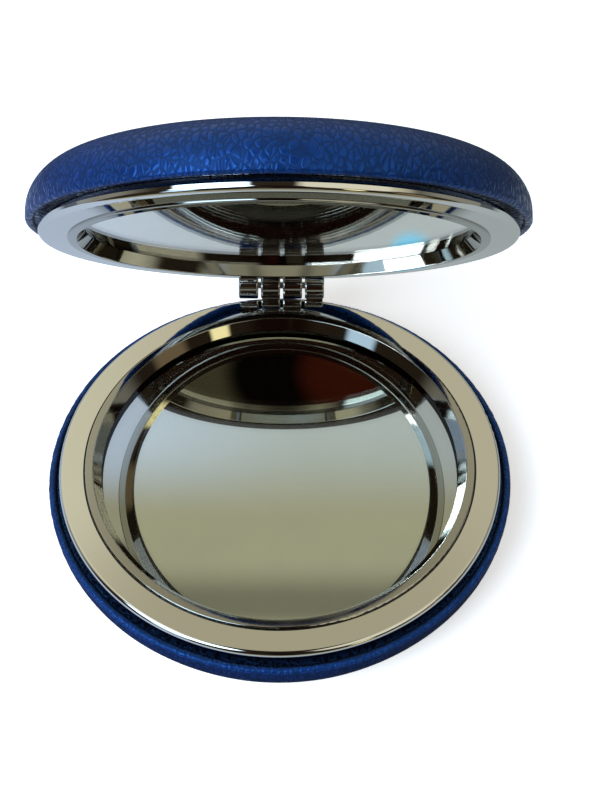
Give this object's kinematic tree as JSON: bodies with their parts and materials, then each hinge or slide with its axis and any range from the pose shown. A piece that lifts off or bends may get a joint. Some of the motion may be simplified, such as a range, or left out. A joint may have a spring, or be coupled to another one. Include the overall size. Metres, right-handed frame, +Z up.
{
  "type": "compact mirror",
  "caption": "Round folding compact mirror: padded leather covers on plated rims, a mirror in each half, joined by a knuckle hinge that holds its angle.",
  "frame": {"origin": "centre of the flat rest face under the lower half", "axes": "+Z up from the rest face, -Y to the front, where the halves part, +Y to the hinge at the back, +X to the right"},
  "size_m": [0.0702, 0.0761, 0.0727],
  "materials": {
    "plated_rim": "bright nickel-chrome plate on a casting, polished",
    "plated_bezel": "bright nickel-chrome plate, polished",
    "mirror_glass": "float glass silvered on its back",
    "adhesive_pad": "closed-cell foam tape",
    "cover_shell": "moulded, satin",
    "cover_foam": "open-cell foam",
    "leather_cover": "pebble-grained leather-look sheet with a pearly blue coat",
    "hinge_pin": "drawn steel wire"
  },
  "bodies": {
    "lower_half": {"lower_rim_frame": "plated_rim", "lower_mirror_bezel": "plated_bezel", "lower_mirror_glass": "mirror_glass", "lower_mirror_pad": "adhesive_pad", "lower_cover_shell": "cover_shell", "lower_cover_foam": "cover_foam", "lower_leather_cover": "leather_cover", "hinge_pin": "hinge_pin"},
    "upper_half": {"upper_rim_frame": "plated_rim", "upper_mirror_bezel": "plated_bezel", "upper_mirror_glass": "mirror_glass", "upper_mirror_pad": "adhesive_pad", "upper_cover_shell": "cover_shell", "upper_cover_foam": "cover_foam", "upper_leather_cover": "leather_cover"}
  },
  "joints": [
    {"name": "lid_hinge", "type": "hinge", "parent": "lower_half", "child": "upper_half", "pos_m": [0, 0.0356, 0.01217], "axis": [-1, 0, 0], "range_deg": [-54, 126]}
  ]
}
